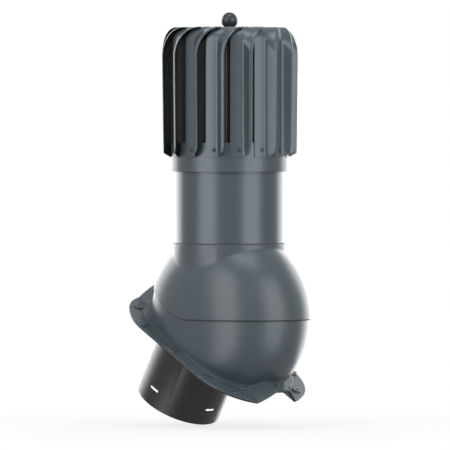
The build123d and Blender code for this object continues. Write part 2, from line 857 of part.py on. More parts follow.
def blade_section(station, above, below, angle):
    # Closed wire round the sheet at one row, its outer face one thickness out
    inner = [blade_point(*station, angle, column) for column in columns]
    upper = [blade_point(*above, angle, column) for column in columns]
    lower = [blade_point(*below, angle, column) for column in columns]
    outer = []
    for index, point in enumerate(inner):
        across = inner[min(index + 1, len(inner) - 1)] - inner[max(index - 1, 0)]
        along = upper[index] - lower[index]
        normal = across.cross(along)
        if station is below:
            normal = Vector(normal.X, normal.Y, 0)
        outer.append(point + normal.normalized() * blade_thickness)
    return Wire(
        [
            Edge.make_spline(inner),
            Edge.make_line(inner[-1], outer[-1]),
            Edge.make_spline(outer[::-1]),
            Edge.make_line(outer[0], inner[0]),
        ]
    )


def blade_sheet(angle):
    stations = blade_stations()
    last = len(stations) - 1
    sections = [
        blade_section(station, stations[min(row + 1, last)], stations[max(row - 1, 0)], angle)
        for row, station in enumerate(stations)
    ]
    return Solid.make_loft(sections, ruled=True)


def turbine_blade(angle):
    with BuildPart() as blade:
        add(blade_sheet(angle))
        # rounded lower corner of the free edge
        with BuildSketch(outward_plane(angle, blade_bottom + blade_corner)):
            with BuildLine():
                left = blade_corner_centre
                right = blade_corner_centre + blade_corner
                CenterArc((left, 0), blade_corner, -90, 90)
                Polyline(
                    (right, 0),
                    (2 * blade_corner, 0),
                    (2 * blade_corner, -2 * blade_corner),
                    (left, -2 * blade_corner),
                    (left, -blade_corner),
                )
            make_face()
        extrude(amount=far, mode=Mode.SUBTRACT)
        with BuildSketch(outward_plane(angle, collar_rivet_level)):
            Circle(rivet_shank + screw_fit)
        extrude(amount=far, mode=Mode.SUBTRACT)
        with BuildSketch(stack_plane.offset(plate_bottom)):
            with Locations(*top_rivet_pair(angle)):
                Circle(rivet_shank + screw_fit)
        extrude(amount=blade_top, mode=Mode.SUBTRACT)
    return blade.part


for index, angle in enumerate(blade_angles):
    write(turbine_blade(angle), f"blade_{index + 1:02d}")

# Rivets through the collar and the feet of the blades
with BuildPart() as collar_rivets:
    blade_outside = tab_face + blade_thickness + bond_fit
    tail_seat = sqrt(collar_bore**2 - rivet_tail**2) - bond_fit
    for angle in blade_angles:
        rivet_plane = outward_plane(angle, collar_rivet_level)
        with BuildSketch(rivet_plane.offset(tail_seat - rivet_tail_height)):
            Circle(rivet_tail)
        extrude(amount=rivet_tail_height)
        with BuildSketch(rivet_plane.offset(tail_seat)):
            Circle(rivet_shank)
        extrude(amount=blade_outside - tail_seat)
        with BuildSketch(rivet_plane.offset(blade_outside)):
            Circle(rivet_head)
        extrude(amount=rivet_head_height, taper=rivet_taper_angle)
write(collar_rivets.part, "collar_rivets")

with BuildPart() as top_rivets:
    with BuildSketch(stack_plane.offset(plate_bottom - rivet_tail_height)):
        with Locations(*top_rivet_points):
            Circle(rivet_tail)
    extrude(amount=rivet_tail_height)
    with BuildSketch(stack_plane.offset(plate_bottom)):
        with Locations(*top_rivet_points):
            Circle(rivet_shank)
    extrude(amount=blade_top + bond_fit - plate_bottom)
    with BuildSketch(stack_plane.offset(blade_top + bond_fit)):
        with Locations(*top_rivet_points):
            Circle(top_rivet_head)
    extrude(amount=top_rivet_head_height, taper=rivet_taper_angle)
write(top_rivets.part, "top_rivets")

nut_washer = stack_ring(
    shaft_radius + screw_fit, nut_washer_radius, plate_top, nut_washer_thickness
)
write(nut_washer, "nut_washer")

# Ball-shaped cap nut on top of the shaft
with BuildPart() as ball_nut:
    with Locations(stack_plane.offset(ball_nut_top - ball_nut_radius)):
        Sphere(ball_nut_radius)
    split(bisect_by=stack_plane.offset(nut_seat), keep=Keep.TOP)
    with BuildSketch(stack_plane.offset(nut_seat)):
        Circle(shaft_radius + screw_fit)
    extrude(amount=nut_bore_depth, mode=Mode.SUBTRACT)
write(ball_nut.part, "ball_nut")
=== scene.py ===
import bpy
import bmesh
import json
from math import asin, cos, degrees, pi, radians, sin, sqrt
from mathutils import Matrix, Vector


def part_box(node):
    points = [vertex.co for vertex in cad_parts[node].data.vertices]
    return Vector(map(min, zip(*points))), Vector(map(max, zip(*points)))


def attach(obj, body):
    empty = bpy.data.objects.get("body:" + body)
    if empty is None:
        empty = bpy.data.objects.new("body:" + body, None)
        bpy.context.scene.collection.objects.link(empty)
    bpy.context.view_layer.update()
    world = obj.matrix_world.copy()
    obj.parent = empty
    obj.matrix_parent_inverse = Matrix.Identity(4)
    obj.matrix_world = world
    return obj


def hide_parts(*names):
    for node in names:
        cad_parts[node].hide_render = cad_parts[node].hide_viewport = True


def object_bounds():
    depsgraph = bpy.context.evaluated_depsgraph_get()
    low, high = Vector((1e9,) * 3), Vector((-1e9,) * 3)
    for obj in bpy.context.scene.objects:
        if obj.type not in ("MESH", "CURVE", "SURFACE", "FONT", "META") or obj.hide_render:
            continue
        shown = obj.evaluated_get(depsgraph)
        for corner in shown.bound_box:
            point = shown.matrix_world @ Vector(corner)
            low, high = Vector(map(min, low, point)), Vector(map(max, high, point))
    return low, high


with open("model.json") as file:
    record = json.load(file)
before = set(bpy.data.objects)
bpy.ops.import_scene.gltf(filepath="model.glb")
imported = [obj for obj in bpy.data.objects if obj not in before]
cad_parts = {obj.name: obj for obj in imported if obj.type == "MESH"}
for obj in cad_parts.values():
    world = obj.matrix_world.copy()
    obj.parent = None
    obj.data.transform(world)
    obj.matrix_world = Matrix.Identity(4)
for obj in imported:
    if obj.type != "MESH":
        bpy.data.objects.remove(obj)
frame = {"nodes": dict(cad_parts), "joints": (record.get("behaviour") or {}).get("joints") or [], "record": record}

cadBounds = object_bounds()
mm = 0.001  # the shape dictionaries hold millimetres and degrees
tilt = next(joint for joint in frame["joints"] if joint["name"] == "stack_tilt")
tiltCentre = Vector(tilt["pos_m"])
print("frame loaded, tilt centre", tuple(round(value, 4) for value in tiltCentre))


# Shader maths: a value that knows its node tree, so sums read as sums
class Value:
    def __init__(self, book, socket):
        self.book = book
        self.socket = socket

    def maths(self, operation, *others):
        return self.book.node("ShaderNodeMath", {"operation": operation}, [self, *others])

    def __add__(self, other):
        return self.maths("ADD", other)

    def __sub__(self, other):
        return self.maths("SUBTRACT", other)

    def __mul__(self, other):
        return self.maths("MULTIPLY", other)

    def clamp(self):
        return self.book.node("ShaderNodeClamp", {}, [self])


nodeSpacing = 180  # between nodes in the shader editor
edgeSamples = 6


class MaterialBook:
    def __init__(self, name):
        self.material = bpy.data.materials.new(name)
        self.material.use_nodes = True
        self.tree = self.material.node_tree
        self.tree.nodes.clear()
        self.place = 0

    def plug(self, socket, value):
        if isinstance(value, Value):
            self.tree.links.new(value.socket, socket)
        else:
            socket.default_value = value

    def node(self, kind, settings=None, inputs=(), output=0):
        made = self.tree.nodes.new(kind)
        made.location = (self.place, 0)
        self.place += nodeSpacing
        for name, value in (settings or {}).items():
            setattr(made, name, value)
        named = inputs.items() if isinstance(inputs, dict) else enumerate(inputs)
        for name, value in named:
            self.plug(made.inputs[name], value)
        return Value(self, made.outputs[output]) if made.outputs else None

    def place3d(self):
        return self.node("ShaderNodeTexCoord", output="Object")

    def noise(self, scale, detail, stretch=(1, 1, 1)):
        spot = self.node("ShaderNodeMapping", {}, {"Vector": self.place3d(), "Scale": stretch})
        inputs = {"Vector": spot, "Scale": scale, "Detail": detail}
        return self.node("ShaderNodeTexNoise", {}, inputs)

    def blend(self, share, low, high):
        mix = self.tree.nodes.new("ShaderNodeMix")
        mix.data_type = "RGBA"
        mix.location = (self.place, -nodeSpacing)
        self.plug(mix.inputs["Factor"], share)
        self.plug(mix.inputs["A"], low)
        self.plug(mix.inputs["B"], high)
        return Value(self, mix.outputs["Result"])

    def clouded(self, look):
        # the cloud itself and the colour that follows it
        scale, detail, contrast, start = look["cloud"]
        cloud = self.noise(scale, detail)
        share = (cloud - 0.5) * contrast + start
        return cloud, self.blend(share, look["colour"], look["paler"])

    def cells(self, scale):
        inputs = {"Vector": self.place3d(), "Scale": scale}
        return self.node("ShaderNodeTexVoronoi", {}, inputs)

    def bump(self, height, strength, distance, normal=None):
        inputs = {"Height": height, "Strength": strength, "Distance": distance}
        if normal is not None:
            inputs["Normal"] = normal
        return self.node("ShaderNodeBump", {}, inputs)

    def insideShadeShare(self, sharpness, start):
        # mask of the painted shade: 1 on faces that look in towards the stack axis or down, 0 on faces that look
        # out
        vector = "ShaderNodeVectorMath"
        spot = self.place3d()
        offset = self.node(vector, {"operation": "SUBTRACT"}, [spot, tuple(tiltCentre)])
        flat = self.node(vector, {"operation": "MULTIPLY"}, [offset, (1, 1, 0)])
        outward = self.node(vector, {"operation": "NORMALIZE"}, [flat])
        upward = self.node(vector, {"operation": "ADD"}, [outward, (0, 0, 1)])
        normal = self.node("ShaderNodeTexCoord", output="Normal")
        facing = self.node(vector, {"operation": "DOT_PRODUCT"}, [normal, upward], "Value")
        return (facing * -sharpness - start).clamp()

    def softEdge(self, radius):
        return self.node("ShaderNodeBevel", {"samples": edgeSamples}, {"Radius": radius})

    def finish(self, inputs):
        shader = self.node("ShaderNodeBsdfPrincipled", {}, inputs)
        self.node("ShaderNodeOutputMaterial", {}, {"Surface": shader})
        return self.material


def shade(red, green, blue):
    # colour given as it looks on screen, 0 to 255
    def linear(level):
        level /= 255
        return level / 12.92 if level <= 0.04045 else ((level + 0.055) / 1.055) ** 2.4

    return (linear(red), linear(green), linear(blue), 1.0)


# Every finish drifts slowly between two colours (cloud: scale, detail, contrast, start).
# Roughness follows the same cloud, and fine grain goes into the normal.

# Moulded graphite-grey cover and base: satin plastic with a fine spark-eroded grain
mouldedGrey = {
    "colour": shade(74, 86, 93),
    "paler": shade(84, 96, 102),
    "cloud": (9.0, 4.0, 1.6, 0.4),
    "flow": (30.0, 3.0, (1, 1, 0.25)),  # long streaks from the mould's filling
    "flowRoughness": 0.06,
    "roughness": 0.33,
    "cloudRoughness": 0.08,
    "grain": (2600.0, 2.0),
    "grainBump": (0.25, 0.00002),
    "edge": 0.0016,
    "ior": 1.5,
    "specular": 0.6,
}


def makeMouldedGrey():
    look = mouldedGrey
    book = MaterialBook("moulded_grey_finish")
    cloud, colour = book.clouded(look)
    grain = book.noise(*look["grain"])
    flow = book.noise(*look["flow"])
    rough = (cloud - 0.5) * look["cloudRoughness"] + (flow - 0.5) * look["flowRoughness"]
    return book.finish(
        {
            "Base Color": colour,
            "Roughness": rough + look["roughness"],
            "Normal": book.bump(grain, *look["grainBump"], book.softEdge(look["edge"])),
            "IOR": look["ior"],
            "Specular IOR Level": look["specular"],
        }
    )


# Powder-coated sheet of the jacket, collar and blades: faint orange peel
coatedSheet = {
    "colour": shade(78, 89, 95),
    "paler": shade(86, 97, 103),
    "cloud": (7.0, 3.0, 1.5, 0.5),
    "speck": (3200.0, 1.0),
    "speckRoughness": 0.05,
    "roughness": 0.3,
    "cloudRoughness": 0.08,
    "peel": (900.0, 2.0),
    "peelBump": (0.2, 0.00004),
    "edge": 0.0007,
    "metallic": 0.25,
    "ior": 1.5,
    "specular": 0.6,
    "inside": shade(22, 23, 24),  # painted shade on the blades' inner side, standing in for the shadow inside the turbine
    "insideRoughness": 0.35,
    "insideTurn": (4.0, 0.4),  # how sharply and how soon a turned face counts as inside
}


def makeCoatedSheet(name="coated_sheet_finish", dark=None):
    look = coatedSheet
    book = MaterialBook(name)
    cloud, colour = book.clouded(look)
    peel = book.noise(*look["peel"])
    speck = book.noise(*look["speck"])
    rough = (cloud - 0.5) * look["cloudRoughness"] + (speck - 0.5) * look["speckRoughness"]
    rough = rough + look["roughness"]
    # painted shade: faces turned inward take the dark colour, standing in for the turbine's shadowed inside
    if dark:
        inside = book.insideShadeShare(*look["insideTurn"])
        colour = book.blend(inside, colour, dark)
        rough = inside * look["insideRoughness"] + rough
    return book.finish(
        {
            "Base Color": colour,
            "Roughness": rough,
            "Normal": book.bump(peel, *look["peelBump"], book.softEdge(look["edge"])),
            "Metallic": look["metallic"],
            "IOR": look["ior"],
            "Specular IOR Level": look["specular"],
        }
    )


# Black extruded pipe: draw lines along its length and a soft sheen
blackPipe = {
    "colour": shade(30, 30, 31),
    "paler": shade(38, 38, 39),
    "cloud": (14.0, 4.0, 1.6, 0.4),
    "lines": (160.0, 2.0, (1, 1, 0.03)),
    "lineRoughness": 0.1,
    "lineBump": (0.2, 0.00003),
    "grain": (1800.0, 2.0),
    "grainBump": (0.15, 0.00002),
    "roughness": 0.36,
    "cloudRoughness": 0.06,
    "ior": 1.5,
}


def makeBlackPipe():
    look = blackPipe
    book = MaterialBook("black_pipe_finish")
    cloud, colour = book.clouded(look)
    lines = book.noise(*look["lines"])
    grain = book.noise(*look["grain"])
    rough = (lines - 0.5) * look["lineRoughness"] + (cloud - 0.5) * look["cloudRoughness"]
    fine = book.bump(grain, *look["grainBump"])
    return book.finish(
        {
            "Base Color": colour,
            "Roughness": rough + look["roughness"],
            "Normal": book.bump(lines, *look["lineBump"], fine),
            "IOR": look["ior"],
        }
    )


# Ball nut: smooth moulded plastic, a little darker than the cover
ballPlastic = {
    "colour": shade(42, 49, 53),
    "paler": shade(50, 57, 61),
    "cloud": (60.0, 3.0, 1.0, 0.5),
    "roughness": 0.32,
    "cloudRoughness": 0.08,
    "grain": (1500.0, 2.0),
    "grainBump": (0.12, 0.00002),
    "ior": 1.5,
}


def makeBallPlastic():
    look = ballPlastic
    book = MaterialBook("ball_nut_finish")
    cloud, colour = book.clouded(look)
    grain = book.noise(*look["grain"])
    return book.finish(
        {
            "Base Color": colour,
            "Roughness": (cloud - 0.5) * look["cloudRoughness"] + look["roughness"],
            "Normal": book.bump(grain, *look["grainBump"]),
            "IOR": look["ior"],
        }
    )


# Gasket and seal: matt closed-cell rubber with open pores
# this finish also colours the dark strip under the cover and the dark ring at the neck, both painted shadow
rubber = {
    "colour": shade(46, 47, 49),
    "paler": shade(58, 59, 61),
    "cloud": (40.0, 4.0, 1.0, 0.5),
    "roughness": 0.7,
    "cloudRoughness": 0.15,
    "pores": 1100.0,
    "poreBump": (0.4, 0.00008),
}


def makeRubber():
    look = rubber
    book = MaterialBook("gasket_rubber_finish")
    cloud, colour = book.clouded(look)
    pores = book.cells(look["pores"])
    return book.finish(
        {
            "Base Color": colour,
            "Roughness": (cloud - 0.5) * look["cloudRoughness"] + look["roughness"],
            "Normal": book.bump(pores, *look["poreBump"]),
        }
    )


# Insulation sleeve: grey foam, open cells of a millimetre or so
foam = {
    "colour": shade(96, 96, 98),
    "paler": shade(122, 122, 124),
    "roughness": 0.85,
    "cloud": (30.0, 4.0),
    "cloudRoughness": 0.1,
    "cells": 700.0,
    "cellContrast": 1.5,
    "cellBump": (0.6, 0.0003),
}


def makeFoam():
    look = foam
    book = MaterialBook("insulation_foam_finish")
    cells = book.cells(look["cells"])
    cloud = book.noise(*look["cloud"])
    paleness = (cells * look["cellContrast"]).clamp()
    return book.finish(
        {
            "Base Color": book.blend(paleness, look["colour"], look["paler"]),
            "Roughness": (cloud - 0.5) * look["cloudRoughness"] + look["roughness"],
            "Normal": book.bump(cells, *look["cellBump"]),
        }
    )


# Ground steel of the rings and screws; the shaft's copy is dimmed almost to black, painted shade for the turbine's
# dark inside
steel = {
    "colour": (0.52, 0.53, 0.55),
    "paler": (0.62, 0.63, 0.64),
    "cloud": (45.0, 3.0),
    "roughness": 0.28,
    "brushed": (500.0, 3.0, (1, 1, 14)),
    "brushRoughness": 0.2,
    "brushBump": (0.2, 0.00002),
    # painted shade: the shaft's steel colour is multiplied by this
    "paintedShadeDimming": 0.06,
}


def makeSteel(name="ground_steel_finish", dimming=1.0):
    look = steel
    book = MaterialBook(name)
    brushed = book.noise(*look["brushed"])
    cloud = book.noise(*look["cloud"])
    dark, pale = (
        tuple(level * dimming for level in look[colour]) + (1.0,) for colour in ("colour", "paler")
    )
    return book.finish(
        {
            "Base Color": book.blend(cloud, dark, pale),
            "Roughness": (brushed - 0.5) * look["brushRoughness"] + look["roughness"],
            "Normal": book.bump(brushed, *look["brushBump"]),
            "Metallic": 1.0,
        }
    )


# Rivets: painted, a little darker and glossier than the sheet
rivetPaint = {
    "colour": shade(44, 50, 56),
    "paler": shade(58, 65, 71),
    "cloud": (300.0, 3.0, 1.0, 0.5),
    "roughness": 0.24,
    "cloudRoughness": 0.12,
    "peel": (1400.0, 2.0),
    "peelBump": (0.2, 0.00002),
    "metallic": 0.3,
}


def makeRivetFinish():
    look = rivetPaint
    book = MaterialBook("rivet_finish")
    cloud, colour = book.clouded(look)
    peel = book.noise(*look["peel"])
    return book.finish(
        {
            "Base Color": colour,
            "Roughness": (cloud - 0.5) * look["cloudRoughness"] + look["roughness"],
            "Normal": book.bump(peel, *look["peelBump"]),
            "Metallic": look["metallic"],
        }
    )


finishes = {
    "moulded_grey": makeMouldedGrey(),
    "coated_sheet": makeCoatedSheet(),
    "black_plastic": makeBlackPipe(),
    "grey_plastic": makeBallPlastic(),
    "gasket_rubber": makeRubber(),
    "insulation_foam": makeFoam(),
    "coated_rivet": makeRivetFinish(),
    "steel": makeSteel(),
}
# blades: the coated sheet with painted shade on their inward faces
bladePaintedShadeFinish = makeCoatedSheet("blade_sheet_painted_shade_finish", coatedSheet["inside"])
shaftPaintedShadeSteel = makeSteel("shaft_steel_painted_shade_finish", steel["paintedShadeDimming"])
print("finishes made:", len(finishes))

slotOf = {part["node"]: part["material_slot"] for part in frame["record"]["subparts"]}
for node, piece in frame["nodes"].items():
    piece.data.materials.clear()
    piece.data.materials.append(finishes[slotOf[node]])


def meshFrom(work, name):
    mesh = bpy.data.meshes.new(name)
    work.to_mesh(mesh)
    work.free()
    return mesh


def smoothByAngle(mesh, limit):
    # shaded smooth except where two faces meet at more than the limit
    work = bmesh.new()
    work.from_mesh(mesh)
    for face in work.faces:
        face.smooth = True
    for edge in work.edges:
        edge.smooth = len(edge.link_faces) == 2 and edge.calc_face_angle() < limit
    work.to_mesh(mesh)
    work.free()


def newPiece(name, mesh, material):
    piece = bpy.data.objects.new(name, mesh)
    bpy.context.scene.collection.objects.link(piece)
    mesh.materials.clear()
    mesh.materials.append(material)
    return piece


def addPiece(name, mesh, body, slot, *nodes):
    piece = newPiece(name, mesh, finishes[slot])
    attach(piece, body)
    if nodes:
        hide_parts(*nodes)
    return piece


bodies = frame["record"]["behaviour"]["bodies"]


def bodyOf(node):
    return next(body for body, held in bodies.items() if node in held)


# Moulded and turned pieces: the same solids, merged so that their curves shade smoothly
smoothed = {"limit": radians(32), "merge": 0.01 * mm}


# Flange: its corners are swept round more fully than the solid's
flange = {"length": 353.0, "width": 235.0, "corner": 100.0, "slope": 30.0, "cuts": 14}
slopeTurn = radians(flange["slope"])
downSlope = Vector((cos(slopeTurn), 0, -sin(slopeTurn)))
acrossSlope = Vector((0, 1, 0))
trimmed = {"base_shell": 0.0, "flange_gasket": 2.5}  # inset of each outline


def trimCorners(work, inset):
    length, width = flange["length"] / 2 - inset, flange["width"] / 2 - inset
    corner = flange["corner"] - inset
    for u in (-1, 1):
        for v in (-1, 1):
            centre = downSlope * u * (length - corner) + acrossSlope * v * (width - corner)
            for step in range(flange["cuts"]):
                turn = pi / 2 * (step + 0.5) / flange["cuts"]
                outward = downSlope * u * cos(turn) + acrossSlope * v * sin(turn)
                geometry = work.verts[:] + work.edges[:] + work.faces[:]
                cut = bmesh.ops.bisect_plane(
                    work,
                    geom=geometry,
                    plane_co=(centre + outward * corner) * mm,
                    plane_no=outward,
                    clear_outer=True,
                )
                edges = [item for item in cut["geom_cut"] if isinstance(item, bmesh.types.BMEdge)]
                if edges:
                    bmesh.ops.holes_fill(work, edges=edges)


def smoothCopy(node):
    mesh = frame["nodes"][node].data.copy()
    work = bmesh.new()
    work.from_mesh(mesh)
    bmesh.ops.remove_doubles(work, verts=work.verts, dist=smoothed["merge"])
    if node in trimmed:
        trimCorners(work, trimmed[node])
    bmesh.ops.dissolve_degenerate(work, dist=smoothed["merge"], edges=work.edges)
    work.to_mesh(mesh)
    work.free()
    mesh.name = node + "_smooth"
    smoothByAngle(mesh, smoothed["limit"])
    return addPiece(node + "_smooth", mesh, bodyOf(node), slotOf[node], node)


# Turbine blade: a bent sheet with a flared, hemmed free edge
blade = {
    "count": 15,
    "phase": 12.6,  # degrees, rivet of the first blade
    "bottom": 278.0,
    "top": 503.0,
    "sheet": 0.9,
    "tabStart": -8.5,  # degrees round the stack from the rivet, as the next three
    "flareStart": 3.0,
    "flareEnd": 10.5,
    "hemStart": 8.3,
    "hemShare": 0.94,  # how far out the lip band starts
    "flarePower": 1.7,
    "tabRadius": 102.25,
    "lipBottom": 116.1,
    "lipTop": 118.0,
    "lipHeight": 50.0,
    "lipReach": 25.0,
    "tabShoulder": 24.0,
    "twist": 17.7,
    "widening": 1.05,
    "innerEnd": 47.0,
    "corner": 22.5,
    "cornerCentre": -0.5,
    "tabColumns": 8,
    "flareColumns": 12,
    "hemColumns": 3,
    "straightRows": 18,
    "shoulderRows": 22,
    "topRows": 8,
    "edgeRound": 0.25,
    "edgeSteps": 2,
    "edgeLimit": radians(50),
    "smoothLimit": radians(38),
}


def flareShare(column):
    # 0 on the flat tab, curving out to the lip band, which runs on almost level
    start, hem, end = blade["flareStart"], blade["hemStart"], blade["flareEnd"]
    if column > hem:
        return blade["hemShare"] + (1 - blade["hemShare"]) * (column - hem) / (end - hem)
    return blade["hemShare"] * max((column - start) / (hem - start), 0.0) ** blade["flarePower"]


def bladePoint(tab, lip, twist, widening, column, square=False):
    share = flareShare(column)
    radius = tab[0] + (lip[0] - tab[0]) * share
    level = tab[1] + (lip[1] - tab[1]) * share
    turn = radians(twist + column * widening)
    if square:
        middle = blade["twist"] + (blade["tabStart"] + blade["flareEnd"]) * widening / 2
        radius /= cos(turn - radians(middle))
    return Vector((radius * cos(turn), radius * sin(turn), level))


def footLevel(column):
    # lower edge of the blade, rounded up towards the free edge
    radius = blade["tabRadius"] + (blade["lipBottom"] - blade["tabRadius"]) * flareShare(column)
    across = radius * sin(radians(column)) - blade["cornerCentre"]
    if across <= 0:
        return blade["bottom"]
    across = min(across, blade["corner"])
    return blade["bottom"] + blade["corner"] - sqrt(blade["corner"] ** 2 - across**2)


def bladeRows():
    faceTop = blade["top"] - blade["sheet"]
    shoulderStart = faceTop - blade["lipHeight"]
    columns = []
    for start, end, count in (
        (blade["tabStart"], blade["flareStart"], blade["tabColumns"]),
        (blade["flareStart"], blade["hemStart"], blade["flareColumns"]),
        (blade["hemStart"], blade["flareEnd"], blade["hemColumns"]),
    ):
        columns += [start + (end - start) * step / count for step in range(count)]
    columns.append(blade["flareEnd"])
    rows = []
    for step in range(blade["straightRows"]):
        share = step / blade["straightRows"]
        lip = blade["lipBottom"] + (blade["lipTop"] - blade["lipBottom"]) * share
        row = []
        for column in columns:
            level = footLevel(column) + (shoulderStart - footLevel(column)) * share
            row.append(bladePoint((blade["tabRadius"], level), (lip, level), 0, 1, column))
        rows.append(row)
    for step in range(blade["shoulderRows"] + 1):
        turn = pi / 2 * step / blade["shoulderRows"]
        up, inward = sin(turn), 1 - cos(turn)
        tab = (
            blade["tabRadius"] - blade["tabShoulder"] * inward,
            faceTop - blade["tabShoulder"] * (1 - up),
        )
        lip = (
            blade["lipTop"] - blade["lipReach"] * inward,
            faceTop - blade["lipHeight"] * (1 - up),
        )
        widening = 1 + (blade["widening"] - 1) * inward
        rows.append(
            [bladePoint(tab, lip, blade["twist"] * inward, widening, column) for column in columns]
        )
    tabEnd = blade["tabRadius"] - blade["tabShoulder"]
    lipEnd = blade["lipTop"] - blade["lipReach"]
    for step in range(1, blade["topRows"] + 1):
        share = step / blade["topRows"]
        tab = (tabEnd + (blade["innerEnd"] - tabEnd) * share, faceTop)
        lip = (lipEnd + (blade["innerEnd"] - lipEnd) * share, faceTop)
        square = step == blade["topRows"]
        rows.append(
            [
                bladePoint(tab, lip, blade["twist"], blade["widening"], column, square)
                for column in columns
            ]
        )
    return rows


def makeBladeMesh():
    work = bmesh.new()
    layer = [[work.verts.new(point * mm) for point in row] for row in bladeRows()]
    for lower, upper in zip(layer, layer[1:]):
        for index in range(len(lower) - 1):
            work.faces.new((lower[index], lower[index + 1], upper[index + 1], upper[index]))
    bmesh.ops.recalc_face_normals(work, faces=work.faces)
    middle = work.faces[len(work.faces) // 4]
    if middle.normal.dot(middle.calc_center_median() * Vector((1, 1, 0))) < 0:
        bmesh.ops.reverse_faces(work, faces=work.faces)
    sheet = newPiece("blade_source", meshFrom(work, "blade_sheet"), finishes["coated_sheet"])
    wall = sheet.modifiers.new("wall", "SOLIDIFY")
    wall.thickness = blade["sheet"] * mm
    wall.offset = 1.0
    wall.use_even_offset = True
    edge = sheet.modifiers.new("edge", "BEVEL")
    edge.width = blade["edgeRound"] * mm
    edge.segments = blade["edgeSteps"]
    edge.limit_method = "ANGLE"
    edge.angle_limit = blade["edgeLimit"]
    return sheet


def plainMesh(piece, name):
    bpy.context.view_layer.update()
    evaluated = piece.evaluated_get(bpy.context.evaluated_depsgraph_get())
    mesh = bpy.data.meshes.new_from_object(evaluated)
    mesh.name = name
    return mesh


# Geometry Nodes: copies of a source piece set round the stack axis
def makeRoundArrayTree():
    tree = bpy.data.node_groups.new("round_array", "GeometryNodeTree")
    face = tree.interface
    for name, kind in (
        ("Geometry", "Geometry"),
        ("Source", "Object"),
        ("Count", "Int"),
        ("Phase", "Float"),
        ("Centre", "Vector"),
        ("Finish", "Material"),
    ):
        face.new_socket(name, in_out="INPUT", socket_type="NodeSocket" + kind)
    face.new_socket("Geometry", in_out="OUTPUT", socket_type="NodeSocketGeometry")
    make = tree.nodes.new
    link = tree.links.new
    given, result = make("NodeGroupInput"), make("NodeGroupOutput")
    source = make("GeometryNodeObjectInfo")
    source.transform_space = "ORIGINAL"
    points = make("GeometryNodePoints")
    index = make("GeometryNodeInputIndex")
    share = make("ShaderNodeMath")
    share.operation = "DIVIDE"
    turn = make("ShaderNodeMath")
    turn.operation = "MULTIPLY_ADD"
    turn.inputs[1].default_value = 2 * pi
    spin = make("ShaderNodeCombineXYZ")
    copies = make("GeometryNodeInstanceOnPoints")
    real = make("GeometryNodeRealizeInstances")
    move = make("GeometryNodeTransform")
    paint = make("GeometryNodeSetMaterial")
    link(given.outputs["Source"], source.inputs["Object"])
    link(given.outputs["Count"], points.inputs["Count"])
    link(index.outputs[0], share.inputs[0])
    link(given.outputs["Count"], share.inputs[1])
    link(share.outputs[0], turn.inputs[0])
    link(given.outputs["Phase"], turn.inputs[2])
    link(turn.outputs[0], spin.inputs["Z"])
    link(points.outputs[0], copies.inputs["Points"])
    link(source.outputs["Geometry"], copies.inputs["Instance"])
    link(spin.outputs[0], copies.inputs["Rotation"])
    link(copies.outputs[0], real.inputs[0])
    link(real.outputs[0], move.inputs["Geometry"])
    link(given.outputs["Centre"], move.inputs["Translation"])
    link(move.outputs[0], paint.inputs["Geometry"])
    link(given.outputs["Finish"], paint.inputs["Material"])
    link(paint.outputs[0], result.inputs[0])
    return tree


roundArray = makeRoundArrayTree()


def arrayRound(name, source, count, phase, material):
    # the copies as one plain mesh
    holder = newPiece(name + "_array", bpy.data.meshes.new(name + "_seed"), material)
    nodes = holder.modifiers.new("copies", "NODES")
    nodes.node_group = roundArray
    values = {
        "Source": source,
        "Count": count,
        "Phase": phase,
        "Centre": tuple(tiltCentre),
        "Finish": material,
    }
    for item in roundArray.interface.items_tree:
        if item.in_out == "INPUT" and item.name in values:
            nodes[item.identifier] = values[item.name]
    mesh = plainMesh(holder, name)
    bpy.data.objects.remove(holder)
    bpy.data.objects.remove(source)
    return mesh


def makeBlades():
    source = makeBladeMesh()
    mesh = arrayRound(
        "turbine_blades", source, blade["count"], radians(blade["phase"]), bladePaintedShadeFinish
    )
    smoothByAngle(mesh, blade["smoothLimit"])
    nodes = [node for node in frame["nodes"] if node.startswith("blade_")]
    piece = addPiece("turbine_blades", mesh, "turbine", "coated_sheet", *nodes)
    piece.data.materials[0] = bladePaintedShadeFinish


makeBlades()
print("blades made")


# Rivets: a domed head on the outer face of the sheet, a plain shank end behind it
rivet = {
    "level": 291.5,
    "seat": 103.2,
    "headRadius": 3.3,
    "headHeight": 1.6,
    "shank": 1.6,
    "inside": 99.9,
    "topCircle": 57.0,
    "topSpacing": 7.0,
    "topHead": 2.4,
    "topHeight": 1.2,
    "domeSteps": 6,
    "collarFacets": 20,
    "topFacets": 16,
    "smoothLimit": radians(40),
}


def lathe(outline, steps, axisMatrix, name):
    # closed turned body: outline of (radius, height) pairs from axis to axis
    work = bmesh.new()
    turns = [2 * pi * step / steps for step in range(steps)]
    rings = []
    for radius, height in outline:
        around = turns if radius else [0]
        rings.append(
            [work.verts.new((radius * cos(turn), radius * sin(turn), height)) for turn in around]
        )
    for lower, upper in zip(rings, rings[1:]):
        for step in range(steps):
            after = (step + 1) % steps
            corners = [lower[step % len(lower)], lower[after % len(lower)]]
            corners += [upper[after % len(upper)], upper[step % len(upper)]]
            unique = list(dict.fromkeys(corners))
            if len(unique) > 2:
                work.faces.new(unique)
    bmesh.ops.recalc_face_normals(work, faces=work.faces)
    bmesh.ops.transform(work, matrix=axisMatrix, verts=work.verts)
    return meshFrom(work, name)


def rivetOutline(head, height, length, shank):
    stem = [(0, 0), (shank * mm, 0), (shank * mm, length * mm)]
    dome = [
        (head * cos(turn) * mm, (length + height * sin(turn)) * mm)
        for turn in [pi / 2 * step / rivet["domeSteps"] for step in range(rivet["domeSteps"])]
    ]
    return stem + dome + [(0, (length + height) * mm)]


